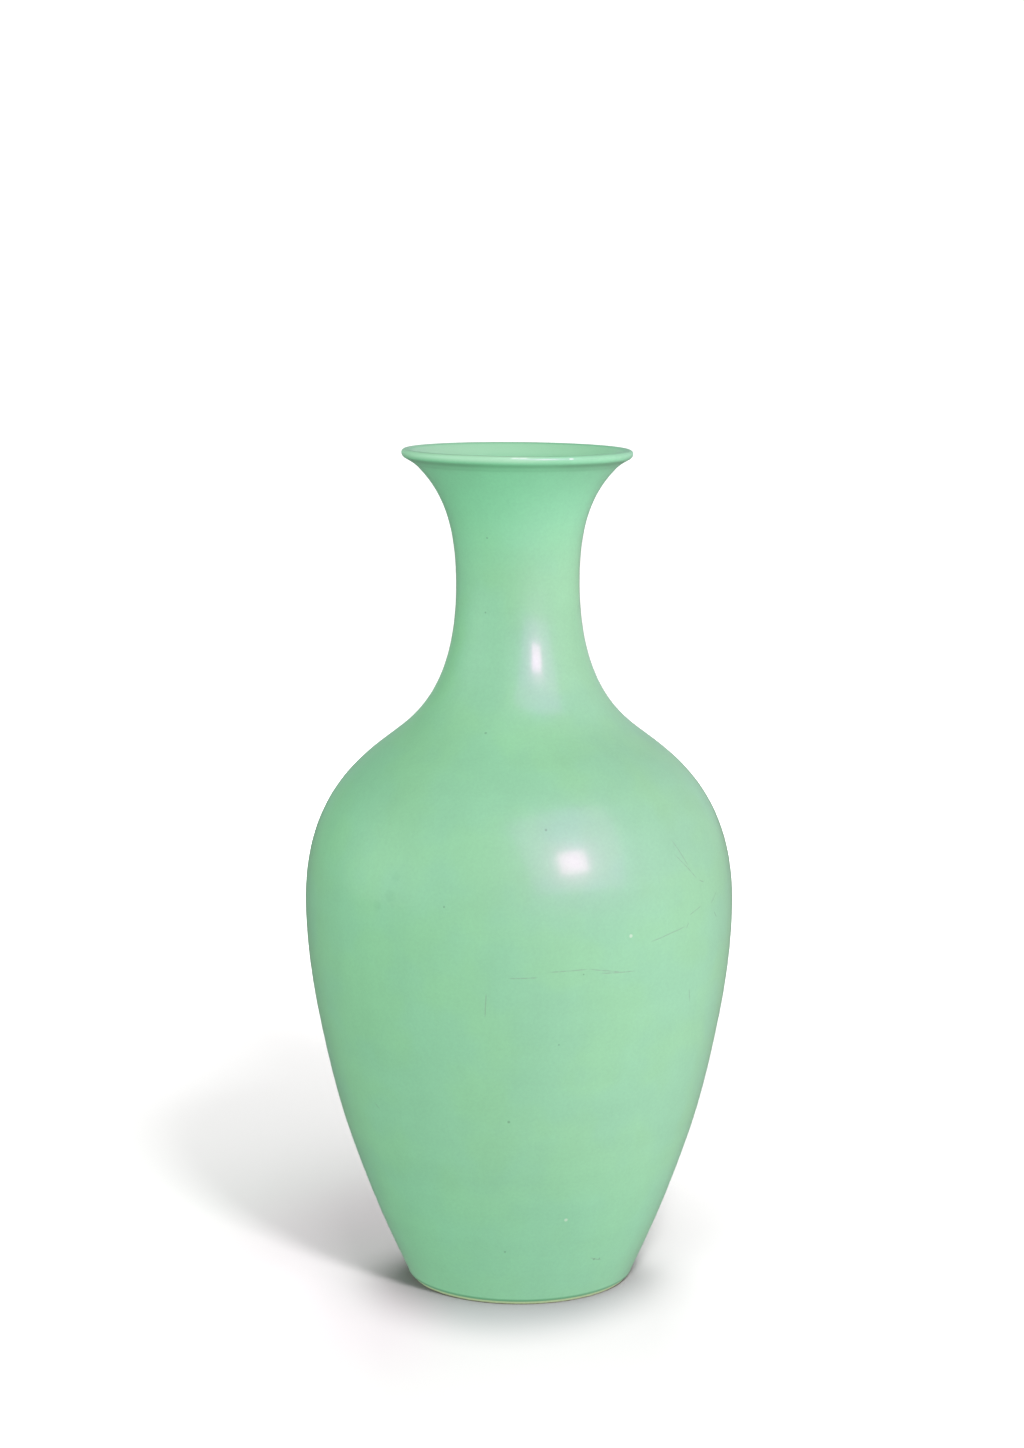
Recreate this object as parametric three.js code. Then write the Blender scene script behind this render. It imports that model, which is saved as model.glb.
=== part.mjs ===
// Flared-mouth vase: a baluster vase in green-enamelled porcelain, 400 mm tall.
// The clay body is thrown in three sections, a lower body with its turned foot ring, a shoulder
// section and a neck with a flared mouth, and each section is luted to the next with a band of slip.
// Coats of green enamel and of clear glaze cover the clay, apart from the bare rim that it stands on.
// Sizes are in millimetres, +Z is up, and the origin is the centre of the ring that it stands on.

import * as THREE from "three";

// Outline of the finished outside. Each rise is counted from the place before it, each lean is the
// outward angle from upright, in degrees, and each hold is the share of a stretch's rise over which
// the curve keeps the lean that it has at that end.
const FOOT_RIM_RISE = 1.5;
const FOOT_RADIUS = 53.9;
const FOOT_LEAN = 25.4;
const FOOT_HOLD = 0.52;

const BELLY_RISE = 183.3;
const BELLY_RADIUS = 102.1;
const BELLY_HOLD_BELOW = 0.095;
const BELLY_HOLD_ABOVE = 0.643;

const ROOT_RISE = 82.4;
const ROOT_RADIUS = 56.7;
const ROOT_LEAN = -52;
const ROOT_HOLD_BELOW = 0.146;
const ROOT_HOLD_ABOVE = 0.119;

const WAIST_RISE = 69.7;
const WAIST_RADIUS = 29.2;
const WAIST_HOLD_BELOW = 0.651;
const WAIST_HOLD_ABOVE = 0.539;

const FLARE_RISE = 56.3;
const FLARE_RADIUS = 48.6;
const FLARE_LEAN = 46.6;
const FLARE_HOLD = 0.196;

// Rolled lip: a sloping underside, a round nose and a crest that runs over into the mouth.
const LIP_OVERHANG = 5.85;
const LIP_UNDERSIDE_LEAN = 60;
const LIP_NOSE_ROUND = 2.9;
const LIP_CREST_INSET = 2.15;
const LIP_CREST_RISE = 1.75;

// Wall, measured square to the outline and with its coats.
const FOOT_WALL = 10;
const BELLY_WALL = 7;
const ROOT_WALL = 7;
const WAIST_WALL = 5;
const FLARE_WALL = 4.2;

// Floor of the inside, and the foot ring under it.
const FLOOR_THICKNESS = 9;
const FLOOR_CORNER = 14;
const FOOT_RIM_INSET = 1.2;
const FOOT_RING_WIDTH = 5.5;
const FOOT_RECESS_DEPTH = 9;
const FOOT_RECESS_TAPER = 1.6;
const FOOT_RECESS_ROUND = 3;

// Coats, and where they end.
const ENAMEL_THICKNESS = 0.6;
const GLAZE_THICKNESS = 0.4;
const ENAMEL_MOUTH_DEPTH = 30;
const BASE_GLAZE_END = 2.4;

// Luted seams: one under the widest place and one above the root of the neck.
const SLIP_THICKNESS = 1.4;
const BODY_SEAM_DROP = 17;
const NECK_SEAM_RISE = 4;

// Fineness of the faceted surfaces.
const FACETS = 36;
const LOWER_STEPS = 6;
const SHOULDER_STEPS = 7;
const NECK_STEPS = 5;
const FLARE_STEPS = 5;
const ROUND_STEPS = 3;
const CORNER_STEPS = 4;
const HALVINGS = 40;

// Heights of the outline's named places, from the ground up.
const BELLY_HEIGHT = FOOT_RIM_RISE + BELLY_RISE;
const ROOT_HEIGHT = BELLY_HEIGHT + ROOT_RISE;
const WAIST_HEIGHT = ROOT_HEIGHT + WAIST_RISE;
const FLARE_HEIGHT = WAIST_HEIGHT + FLARE_RISE;
const BODY_SEAM_HEIGHT = BELLY_HEIGHT - BODY_SEAM_DROP;
const NECK_SEAM_HEIGHT = ROOT_HEIGHT + NECK_SEAM_RISE;
const ENAMEL_END_HEIGHT = FLARE_HEIGHT - ENAMEL_MOUTH_DEPTH;
const FLOOR_HEIGHT = FOOT_RECESS_DEPTH + FLOOR_THICKNESS;

const radians = THREE.MathUtils.degToRad;

// A place on a profile: its distance from the axis and its height.
function place(radius, height) {
  return new THREE.Vector2(radius, height);
}

// The place reached by rising from a start along a lean.
function along(start, lean, rise) {
  return place(start.x + rise * Math.tan(radians(lean)), start.y + rise);
}

// One stretch of the outline between two named places, with the wall at each end.
function stretch(low, high, steps) {
  const rise = high.at.y - low.at.y;
  const curve = new THREE.CubicBezierCurve(
    low.at,
    along(low.at, low.lean, rise * low.hold),
    along(high.at, high.lean, -rise * high.hold),
    high.at,
  );
  return { curve, steps, walls: [low.wall, high.wall] };
}

const foot = { at: place(FOOT_RADIUS, FOOT_RIM_RISE), lean: FOOT_LEAN, wall: FOOT_WALL };
const belly = { at: place(BELLY_RADIUS, BELLY_HEIGHT), lean: 0, wall: BELLY_WALL };
const root = { at: place(ROOT_RADIUS, ROOT_HEIGHT), lean: ROOT_LEAN, wall: ROOT_WALL };
const waist = { at: place(WAIST_RADIUS, WAIST_HEIGHT), lean: 0, wall: WAIST_WALL };
const flare = { at: place(FLARE_RADIUS, FLARE_HEIGHT), lean: FLARE_LEAN, wall: FLARE_WALL };

const stretches = [
  stretch({ ...foot, hold: FOOT_HOLD }, { ...belly, hold: BELLY_HOLD_BELOW }, LOWER_STEPS),
  stretch({ ...belly, hold: BELLY_HOLD_ABOVE }, { ...root, hold: ROOT_HOLD_BELOW }, SHOULDER_STEPS),
  stretch({ ...root, hold: ROOT_HOLD_ABOVE }, { ...waist, hold: WAIST_HOLD_BELOW }, NECK_STEPS),
  stretch({ ...waist, hold: WAIST_HOLD_ABOVE }, { ...flare, hold: FLARE_HOLD }, FLARE_STEPS),
];

// The outline at a height: its place outside, and the place across the wall from it, inside.
function station(height) {
  const part = stretches.find((s) => height <= s.curve.v3.y) ?? stretches.at(-1);
  let low = 0;
  let high = 1;
  for (let k = 0; k < HALVINGS; k += 1) {
    const middle = (low + high) / 2;
    if (part.curve.getPoint(middle).y < height) low = middle;
    else high = middle;
  }
  const outside = part.curve.getPoint(high);
  const way = part.curve.getTangent(high);
  const wall = THREE.MathUtils.lerp(part.walls[0], part.walls[1], high);
  const inside = place(outside.x - way.y * wall, outside.y + way.x * wall);
  return { outside, inside, way };
}

// Heights of all stations, with one at the enamel's end inside the mouth and a close pair at each
// seam for the two faces of its slip.
function stationHeights() {
  const seams = [BODY_SEAM_HEIGHT, NECK_SEAM_HEIGHT];
  const faces = seams.flatMap((seam) => [seam - SLIP_THICKNESS / 2, seam + SLIP_THICKNESS / 2]);
  const marks = [...faces, ENAMEL_END_HEIGHT];
  const even = stretches.flatMap((s) => s.curve.getPoints(s.steps).slice(1).map((p) => p.y));
  const clear = even.filter((h) => marks.every((mark) => Math.abs(h - mark) > SLIP_THICKNESS));
  return [FOOT_RIM_RISE, ...clear, ...marks].sort((a, b) => a - b);
}

// A quarter or less of an ellipse about a centre, from one angle to another, in degrees.
function round(centre, halfWidth, halfHeight, from, to) {
  return Array.from({ length: ROUND_STEPS + 1 }, (_, k) => {
    const angle = radians(THREE.MathUtils.lerp(from, to, k / ROUND_STEPS));
    return place(centre.x + halfWidth * Math.cos(angle), centre.y + halfHeight * Math.sin(angle));
  });
}

// A corner drawn from one place to another, bent towards the place where their lines meet.
function bend(from, towards, to, steps) {
  return new THREE.QuadraticBezierCurve(from, towards, to).getPoints(steps);
}

// The lip, from the first place past the end of the flare to the last one before the inside of
// the mouth.
function lipOutline(end) {
  const slope = radians(90 - LIP_UNDERSIDE_LEAN);
  const noseCentreRadius = FLARE_RADIUS + LIP_OVERHANG - LIP_NOSE_ROUND;
  const overrun = noseCentreRadius - FLARE_RADIUS;
  const noseRise = (LIP_NOSE_ROUND + overrun * Math.sin(slope)) / Math.cos(slope);
  const noseCentre = place(noseCentreRadius, FLARE_HEIGHT + noseRise);
  const crestCentre = place(FLARE_RADIUS + LIP_OVERHANG - LIP_CREST_INSET, noseCentre.y);
  const crest = place(crestCentre.x, crestCentre.y + LIP_CREST_RISE);
  const meet = place(end.inside.x + ((crest.y - end.inside.y) * end.way.x) / end.way.y, crest.y);
  return [
    ...round(noseCentre, LIP_NOSE_ROUND, LIP_NOSE_ROUND, -LIP_UNDERSIDE_LEAN, 0),
    ...round(crestCentre, LIP_CREST_INSET, LIP_CREST_RISE, 0, 90).slice(1),
    ...bend(crest, meet, end.inside, CORNER_STEPS).slice(1, -1),
  ];
}

// The floor's corner and the floor, from the lowest place of the inner wall to the axis.
function floorOutline(end) {
  const meet = place(end.inside.x - ((end.inside.y - FLOOR_HEIGHT) * end.way.x) / end.way.y, FLOOR_HEIGHT);
  const flat = place(meet.x - FLOOR_CORNER, FLOOR_HEIGHT);
  return [...bend(end.inside, meet, flat, CORNER_STEPS).slice(1), place(0, FLOOR_HEIGHT)];
}

// A path moved to its left by a depth at each place, with mitred corners.
function inset(path, depths) {
  const normals = path.slice(1).map((p, k) => {
    const way = p.clone().sub(path[k]).normalize();
    return place(-way.y, way.x);
  });
  return path.map((p, k) => {
    const before = normals[Math.max(k - 1, 0)];
    const after = normals[Math.min(k, normals.length - 1)];
    const mitre = before.clone().add(after).normalize();
    return mitre.multiplyScalar(depths[k] / mitre.dot(before)).add(p);
  });
}

// The finished surface as one path: up the outside, over the lip, down the inside and over the
// floor to the axis. The clay's surface is the same path, inset by the coat on it.
const stations = stationHeights().map(station);
const innerStations = stations.filter((s, k) => k > 0).reverse();
const outer = stations.map((s) => s.outside);
const lip = lipOutline(stations.at(-1));
const inner = innerStations.map((s) => s.inside);
const finished = [...outer, ...lip, ...inner, ...floorOutline(innerStations.at(-1))];

// The first station at or above a height, counted up from the foot.
function stationAt(height) {
  return stations.findIndex((s) => s.outside.y >= height);
}

// Where a station lies on the path inside. Outside, its place on the path is its own number.
function insideIndex(stationNumber) {
  return outer.length + lip.length + stations.length - 1 - stationNumber;
}

const BODY_SEAM = stationAt(BODY_SEAM_HEIGHT) - 1;
const NECK_SEAM = stationAt(NECK_SEAM_HEIGHT) - 1;
const ENAMEL_LAST = insideIndex(stationAt(ENAMEL_END_HEIGHT));

const coatDepths = finished.map((p, k) => (k <= ENAMEL_LAST ? ENAMEL_THICKNESS : GLAZE_THICKNESS));
const clay = inset(finished, coatDepths);

// The clay of the recess under the floor, from the axis to the inner edge of the standing rim.
const RIM_OUTER_RADIUS = FOOT_RADIUS - FOOT_RIM_INSET;
const RIM_INNER_RADIUS = RIM_OUTER_RADIUS - FOOT_RING_WIDTH;

function recessSide(height) {
  return place(RIM_INNER_RADIUS - (FOOT_RECESS_TAPER * height) / FOOT_RECESS_DEPTH, height);
}

const recessCorner = recessSide(FOOT_RECESS_DEPTH);
const recess = [
  place(0, FOOT_RECESS_DEPTH),
  ...bend(
    place(recessCorner.x - FOOT_RECESS_ROUND, FOOT_RECESS_DEPTH),
    recessCorner,
    recessSide(FOOT_RECESS_DEPTH - FOOT_RECESS_ROUND),
    ROUND_STEPS,
  ),
  recessSide(BASE_GLAZE_END),
];

// A profile turned about the vertical axis. Each facet is cut along the diagonal that falls with
// the turn, so that two pieces that share a stretch of profile share its facets exactly.
function turned(profile) {
  const geometry = new THREE.LatheGeometry(profile, FACETS);
  const rows = profile.length;
  const faces = [];
  for (let turn = 0; turn < FACETS; turn += 1) {
    for (let row = 0; row < rows - 1; row += 1) {
      const a = turn * rows + row;
      const b = a + rows;
      const c = b + 1;
      const d = a + 1;
      const rise = profile[row + 1].y - profile[row].y || profile[row + 1].x - profile[row].x;
      if (rise > 0) faces.push(a, b, d, c, d, b);
      else faces.push(a, b, c, c, d, a);
    }
  }
  geometry.setIndex(faces);
  return geometry.rotateX(Math.PI / 2);
}

// The closed profile between two matching stretches of path.
function between(first, second) {
  return [...first, ...second, first[0]];
}

// The part of a section between two stations: its outer side, then its inner side.
function ring(low, high) {
  return between(clay.slice(low, high + 1), clay.slice(insideIndex(high), insideIndex(low) + 1));
}

function clayMaterial() {
  return new THREE.MeshStandardMaterial({ color: "#d9cfbb", roughness: 0.85, metalness: 0 });
}

function slipMaterial() {
  return new THREE.MeshStandardMaterial({ color: "#cfc4ae", roughness: 0.9, metalness: 0 });
}

function enamelMaterial() {
  return new THREE.MeshStandardMaterial({ color: "#8cc99f", roughness: 0.25, metalness: 0 });
}

function glazeMaterial() {
  return new THREE.MeshStandardMaterial({ color: "#e3e8e0", roughness: 0.15, metalness: 0 });
}

function piece(name, profile, material) {
  const mesh = new THREE.Mesh(turned(profile), material);
  mesh.name = name;
  return mesh;
}

// Lower section: the recess, the standing rim, the wall up to the body seam and the floor.
function lowerBody() {
  const rim = [place(RIM_INNER_RADIUS, 0), place(RIM_OUTER_RADIUS, 0)];
  const wall = clay.slice(0, BODY_SEAM + 1);
  const inside = clay.slice(insideIndex(BODY_SEAM));
  return piece("lower_body", [...recess, ...rim, ...wall, ...inside], clayMaterial());
}

function bodyLuting() {
  return piece("body_luting", ring(BODY_SEAM, BODY_SEAM + 1), slipMaterial());
}

function upperBody() {
  return piece("upper_body", ring(BODY_SEAM + 1, NECK_SEAM), clayMaterial());
}

function neckLuting() {
  return piece("neck_luting", ring(NECK_SEAM, NECK_SEAM + 1), slipMaterial());
}

// Neck section: the waisted neck, the flared mouth and the rolled lip.
function neck() {
  const section = clay.slice(NECK_SEAM + 1, insideIndex(NECK_SEAM + 1) + 1);
  return piece("neck", between(section, []), clayMaterial());
}

// Green enamel, from the bare rim up the outside, over the lip and a little way down the mouth.
function greenEnamel() {
  const outside = finished.slice(0, ENAMEL_LAST + 1);
  const under = clay.slice(0, ENAMEL_LAST + 1).reverse();
  return piece("green_enamel", between(outside, under), enamelMaterial());
}

// Clear glaze that lines the inside below the enamel.
function interiorGlaze() {
  const under = clay.slice(ENAMEL_LAST).reverse();
  return piece("interior_glaze", [...under, ...finished.slice(ENAMEL_LAST)], glazeMaterial());
}

// Clear glaze in the recess under the floor, stopping above the standing rim.
function baseGlaze() {
  const surface = inset(recess, recess.map(() => -GLAZE_THICKNESS));
  return piece("base_glaze", [...surface, ...recess.toReversed()], glazeMaterial());
}

const vase = new THREE.Group();
vase.add(
  lowerBody(),
  bodyLuting(),
  upperBody(),
  neckLuting(),
  neck(),
  greenEnamel(),
  interiorGlaze(),
  baseGlaze(),
);

export default vase;
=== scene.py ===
"""Flared-mouth vase in green-enamelled porcelain, standing on a white studio floor.

Lengths are worked out in millimetres and put into the meshes in metres. +Z is up, +X is to the
right and +Y is away from the viewer.
"""

import bpy
import numpy as np
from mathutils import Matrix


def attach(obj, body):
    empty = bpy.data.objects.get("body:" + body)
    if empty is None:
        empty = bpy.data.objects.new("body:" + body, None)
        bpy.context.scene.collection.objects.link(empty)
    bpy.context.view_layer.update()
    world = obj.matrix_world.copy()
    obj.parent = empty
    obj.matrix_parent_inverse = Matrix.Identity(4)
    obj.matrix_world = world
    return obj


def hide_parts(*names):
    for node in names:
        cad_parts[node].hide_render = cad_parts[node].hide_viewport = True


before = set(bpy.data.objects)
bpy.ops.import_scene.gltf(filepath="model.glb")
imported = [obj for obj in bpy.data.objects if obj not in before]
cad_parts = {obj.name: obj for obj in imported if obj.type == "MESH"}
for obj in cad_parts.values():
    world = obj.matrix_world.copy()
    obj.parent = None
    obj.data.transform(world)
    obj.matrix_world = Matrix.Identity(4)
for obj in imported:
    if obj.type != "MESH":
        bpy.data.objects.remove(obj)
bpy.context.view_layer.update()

MM = 0.001
FULL_HEIGHT = 400.0

# Outline of the finished outside, from the ground up: where each named place lies, the way the
# outline leans there, and the share of the rise over which a stretch keeps that lean.
RIM_HEIGHT, FOOT_RADIUS, FOOT_LEAN, FOOT_HOLD = 1.5, 53.9, 25.4, 0.52
BELLY_HEIGHT, BELLY_RADIUS = 184.8, 102.1
BELLY_HOLD_BELOW, BELLY_HOLD_ABOVE = 0.095, 0.643
ROOT_HEIGHT, ROOT_RADIUS, ROOT_LEAN = 267.2, 56.7, -52.0
ROOT_HOLD_BELOW, ROOT_HOLD_ABOVE = 0.146, 0.119
WAIST_HEIGHT, WAIST_RADIUS = 336.9, 29.2
WAIST_HOLD_BELOW, WAIST_HOLD_ABOVE = 0.651, 0.539
FLARE_HEIGHT, FLARE_RADIUS, FLARE_LEAN, FLARE_HOLD = 393.2, 48.6, 46.6, 0.196
FOOT_WALL, BELLY_WALL, ROOT_WALL, WAIST_WALL, FLARE_WALL = 10.0, 7.0, 7.0, 5.0, 4.2

# Rolled lip, floor, foot ring, coats and luted seams.
LIP_OVERHANG, LIP_UNDERSIDE_LEAN, LIP_NOSE_ROUND = 5.85, 60.0, 2.9
LIP_CREST_INSET, LIP_CREST_RISE, LIP_CREASE_ROUND = 2.15, 1.75, 2.6
FLOOR_HEIGHT, FLOOR_CORNER, FLOOR_TURN_SHARE = 18.0, 14.0, 1 / 6
RIM_OUTER_RADIUS, RIM_INNER_RADIUS, RIM_EDGE_ROUND = 52.7, 47.2, 0.35
RECESS_DEPTH, RECESS_TAPER, RECESS_ROUND, BASE_GLAZE_END = 9.0, 1.6, 3.0, 2.4
ENAMEL_THICKNESS, GLAZE_THICKNESS, ENAMEL_END_HEIGHT = 0.6, 0.4, 363.2
BODY_SEAM_HEIGHT, NECK_SEAM_HEIGHT, SLIP_THICKNESS = 167.8, 271.2, 1.4

# How the thrown and fired vase departs from a true turned form.
LEAN_SIDE, LEAN_BOW = -1.3, -0.7
MOUTH_DROP, MOUTH_DROP_FROM = 0.47, 330.0
THROWN_SWELLS = {"above_foot": (7.0, -0.18), "low": (80.0, 0.25), "high": (123.0, -0.22)}
SWELL_REACH = 18.0
RING_HEIGHT, RING_DEPTH, RING_START, RING_FADE = 11.0, 0.018, 6.0, 30.0
STILL_RADIUS, STILL_FADE = 5.0, 20.0
BEAD_HEIGHT, BEAD_REACH, BEAD_SWELL, BEAD_ROUND, BEAD_UNDERCUT = 2.4, 0.8, 0.14, 0.5, 0.8

# Fineness of the meshes: places round each turn, the sharpest edge that is shaded smooth in degrees,
# and the steps between rows, which are close together below one height and wider above it.
ENAMEL_TURNS, GLAZE_TURNS, CLAY_TURNS, SMOOTH_ANGLE = 288, 160, 144, 50
FOOT_ROWS_END, FOOT_ROW_STEP, BODY_ROW_STEP, TOP_ROWS_RISE = 4.0, 0.12, 2.1, 3.0

# The photographed view: how far in front and how high the camera is, how far it is to the side,
# and how far it looks down.
PICTURE_WIDTH, PICTURE_HEIGHT = 1024, 1448
CAMERA_DISTANCE, CAMERA_HEIGHT, CAMERA_SIDE = 1506.5, 495.4, -3.36
CAMERA_PITCH, CAMERA_LENS, FILM_SIZE = 8.55, 79.67, 36.0

# How far before and beyond the axis a pixel's sight line is walked, and in how many places.
SIGHT_BEFORE, SIGHT_BEYOND, SIGHT_PLACES = 160, 60, 22001


# Camera


def place_camera():
    """The camera of the photographed view, as the scene's camera."""
    data = bpy.data.cameras.new("camera")
    data.lens = CAMERA_LENS
    data.sensor_width = FILM_SIZE
    data.clip_end = 50
    camera = bpy.data.objects.new("camera", data)
    camera.location = (CAMERA_SIDE * MM, -CAMERA_DISTANCE * MM, CAMERA_HEIGHT * MM)
    camera.rotation_euler = (np.radians(90 - CAMERA_PITCH), 0, 0)
    bpy.context.scene.collection.objects.link(camera)
    bpy.context.scene.camera = camera


place_camera()


# Profile of the surface and of the clay


def cubic(low, high, low_lean, high_lean, low_hold, high_hold, walls, share):
    """A cubic curve from low to high, that leaves and arrives along the two leans and keeps each
    for its share of the rise. Gives places outside, places across the wall and heights."""
    low, high = np.array(low), np.array(high)
    rise = high[1] - low[1]
    first = low + rise * low_hold * np.array([np.tan(np.radians(low_lean)), 1.0])
    last = high - rise * high_hold * np.array([np.tan(np.radians(high_lean)), 1.0])
    t = share[:, None]
    u = 1 - t
    places = u**3 * low + 3 * u * u * t * first + 3 * u * t * t * last + t**3 * high
    way = u * u * (first - low) + 2 * u * t * (last - first) + t * t * (high - last)
    way /= np.linalg.norm(way, axis=1)[:, None]
    wall = (walls[0] + (walls[1] - walls[0]) * share)[:, None]
    inside = places + wall * np.stack([-way[:, 1], way[:, 0]], 1)
    return places, inside, way


STRETCHES = [
    ((FOOT_RADIUS, RIM_HEIGHT), (BELLY_RADIUS, BELLY_HEIGHT), FOOT_LEAN, 0.0,
     FOOT_HOLD, BELLY_HOLD_BELOW, (FOOT_WALL, BELLY_WALL)),
    ((BELLY_RADIUS, BELLY_HEIGHT), (ROOT_RADIUS, ROOT_HEIGHT), 0.0, ROOT_LEAN,
     BELLY_HOLD_ABOVE, ROOT_HOLD_BELOW, (BELLY_WALL, ROOT_WALL)),
    ((ROOT_RADIUS, ROOT_HEIGHT), (WAIST_RADIUS, WAIST_HEIGHT), ROOT_LEAN, 0.0,
     ROOT_HOLD_ABOVE, WAIST_HOLD_BELOW, (ROOT_WALL, WAIST_WALL)),
    ((WAIST_RADIUS, WAIST_HEIGHT), (FLARE_RADIUS, FLARE_HEIGHT), 0.0, FLARE_LEAN,
     WAIST_HOLD_ABOVE, FLARE_HOLD, (WAIST_WALL, FLARE_WALL)),
]


def stations(heights):
    """Outside places, inside places and ways of the wall at the given rising heights: each
    stretch is tabled finely, and its share at a height is read off the table."""
    fine = np.linspace(0, 1, 4001)
    found = []
    for number, stretch in enumerate(STRETCHES):
        table = cubic(*stretch, fine)[0][:, 1]
        here = heights[(heights >= table[0]) & (heights <= table[-1])]
        if number:
            here = here[here > table[0]]
        found.append(cubic(*stretch, np.interp(here, table, fine)))
    return [np.concatenate([part[k] for part in found]) for k in range(3)]


def arc(centre, half_width, half_height, start, end, steps):
    """Part of an ellipse about a centre, from one angle to another in degrees."""
    angle = np.radians(np.linspace(start, end, steps + 1))
    return np.stack([centre[0] + half_width * np.cos(angle),
                     centre[1] + half_height * np.sin(angle)], 1)


def bend(start, towards, end, steps):
    """A corner: the quadratic curve from start to end that is drawn towards a third place."""
    t = np.linspace(0, 1, steps + 1)[:, None]
    return ((1 - t) ** 2 * np.array(start) + 2 * t * (1 - t) * np.array(towards)
            + t * t * np.array(end))


def inset(path, depths):
    """A path moved to its left by a depth at each place, along the mean of the normals of the two
    edges that meet there."""
    edge = np.diff(path, axis=0)
    edge /= np.linalg.norm(edge, axis=1)[:, None]
    normal = np.stack([-edge[:, 1], edge[:, 0]], 1)
    before = np.concatenate([normal[:1], normal])
    after = np.concatenate([normal, normal[-1:]])
    mitre = before + after
    mitre /= np.linalg.norm(mitre, axis=1)[:, None]
    return path + mitre * (depths / np.sum(mitre * before, axis=1))[:, None]


def lip_path(end_outside, end_inside, end_way):
    """The rolled lip, from just past the end of the flare to just before the inside of the mouth:
    a rounded crease, a sloping underside, a round nose, and a crest that runs over inwards."""
    slope = np.radians(90 - LIP_UNDERSIDE_LEAN)
    nose_radius = FLARE_RADIUS + LIP_OVERHANG - LIP_NOSE_ROUND
    nose_rise = (LIP_NOSE_ROUND + (nose_radius - FLARE_RADIUS) * np.sin(slope)) / np.cos(slope)
    nose = (nose_radius, FLARE_HEIGHT + nose_rise)
    crest_centre = (FLARE_RADIUS + LIP_OVERHANG - LIP_CREST_INSET, nose[1])
    under = arc(nose, LIP_NOSE_ROUND, LIP_NOSE_ROUND, -LIP_UNDERSIDE_LEAN, 0, 12)
    over = arc(crest_centre, LIP_CREST_INSET, LIP_CREST_RISE, 0, 90, 12)
    crest = over[-1]
    meet = (end_inside[0] + (crest[1] - end_inside[1]) * end_way[0] / end_way[1], crest[1])
    into = bend(crest, meet, end_inside, 16)
    towards_nose = (under[0] - end_outside) / np.linalg.norm(under[0] - end_outside)
    crease = bend(end_outside - LIP_CREASE_ROUND * end_way, end_outside,
                  end_outside + LIP_CREASE_ROUND * towards_nose, 8)
    return np.concatenate([crease, under, over[1:], into[1:-1]])


def station_heights():
    """Heights of the rows: close together at the foot and the lip, about 2 mm apart between, with
    a row at each face of each seam and one where the enamel ends inside the mouth."""
    foot = np.arange(RIM_HEIGHT, FOOT_ROWS_END, FOOT_ROW_STEP)
    body = np.arange(FOOT_ROWS_END, FLARE_HEIGHT - TOP_ROWS_RISE, BODY_ROW_STEP)
    top = np.linspace(FLARE_HEIGHT - TOP_ROWS_RISE, FLARE_HEIGHT, 6)
    half = SLIP_THICKNESS / 2
    marks = [BODY_SEAM_HEIGHT - half, BODY_SEAM_HEIGHT + half, NECK_SEAM_HEIGHT - half,
             NECK_SEAM_HEIGHT + half, ENAMEL_END_HEIGHT]
    return np.unique(np.concatenate([foot, body, top, marks]))


def swollen(outside, way):
    """The outside with the bead of enamel at its lower edge: it swells over a short height, and
    below the bead it rounds in towards the clay as a quarter ellipse."""
    height = outside[:, 1]
    swell = BEAD_SWELL * np.exp(-(((height - BEAD_HEIGHT) / BEAD_REACH) ** 2))
    low = np.clip((RIM_HEIGHT + BEAD_ROUND - height) / BEAD_ROUND, 0, 1)
    round_in = BEAD_UNDERCUT * ENAMEL_THICKNESS * (1 - np.sqrt(1 - low**2))
    return outside + (swell - round_in)[:, None] * np.stack([way[:, 1], -way[:, 0]], 1)


heights = station_heights()
outside, inside, way = stations(heights)
crease_start = np.searchsorted(heights, FLARE_HEIGHT - LIP_CREASE_ROUND)
outer = outside[:crease_start]
lip = lip_path(outside[-1], inside[-1], way[-1])
floor_turn = np.searchsorted(heights, cubic(*STRETCHES[0], np.array([FLOOR_TURN_SHARE]))[0][0, 1])
inner = inside[:floor_turn - 1:-1]
turn_way = way[floor_turn]
floor_meet = (inner[-1][0] - (inner[-1][1] - FLOOR_HEIGHT) * turn_way[0] / turn_way[1], FLOOR_HEIGHT)
floor_flat = (floor_meet[0] - FLOOR_CORNER, FLOOR_HEIGHT)
floor = np.concatenate([bend(inner[-1], floor_meet, floor_flat, 16)[1:],
                        np.stack([np.linspace(floor_flat[0], 0, 12)[1:], np.full(11, FLOOR_HEIGHT)], 1)])
finished = np.concatenate([outer, lip, inner, floor])
inner_start = len(outer) + len(lip)
RIM_TOP = lip[:, 1].max()


def inside_number(height):
    """The number on the finished path of the inner place across from a height outside."""
    return inner_start + len(heights) - 1 - np.searchsorted(heights, height - 1e-6)


def outside_number(height):
    """The number on the finished path of the outer place at a height."""
    return np.searchsorted(heights, height - 1e-6)


enamel_last = inside_number(ENAMEL_END_HEIGHT)
depths = np.where(np.arange(len(finished)) <= enamel_last, ENAMEL_THICKNESS, GLAZE_THICKNESS)
clay = inset(finished, depths)
surface = finished.copy()
surface[: len(outer)] = swollen(outer, way[:crease_start])

rim_inner_edge = (RIM_INNER_RADIUS + RIM_EDGE_ROUND, RIM_EDGE_ROUND)
rim_outer_edge = (RIM_OUTER_RADIUS - RIM_EDGE_ROUND, RIM_EDGE_ROUND)
rim = np.concatenate([
    arc(rim_inner_edge, RIM_EDGE_ROUND, RIM_EDGE_ROUND, 180, 270, 4),
    arc(rim_outer_edge, RIM_EDGE_ROUND, RIM_EDGE_ROUND, 270, 322, 4),
])


def recess_side(height):
    """A place on the side of the recess, which tapers in as it rises."""
    return (RIM_INNER_RADIUS - RECESS_TAPER * height / RECESS_DEPTH, height)


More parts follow.
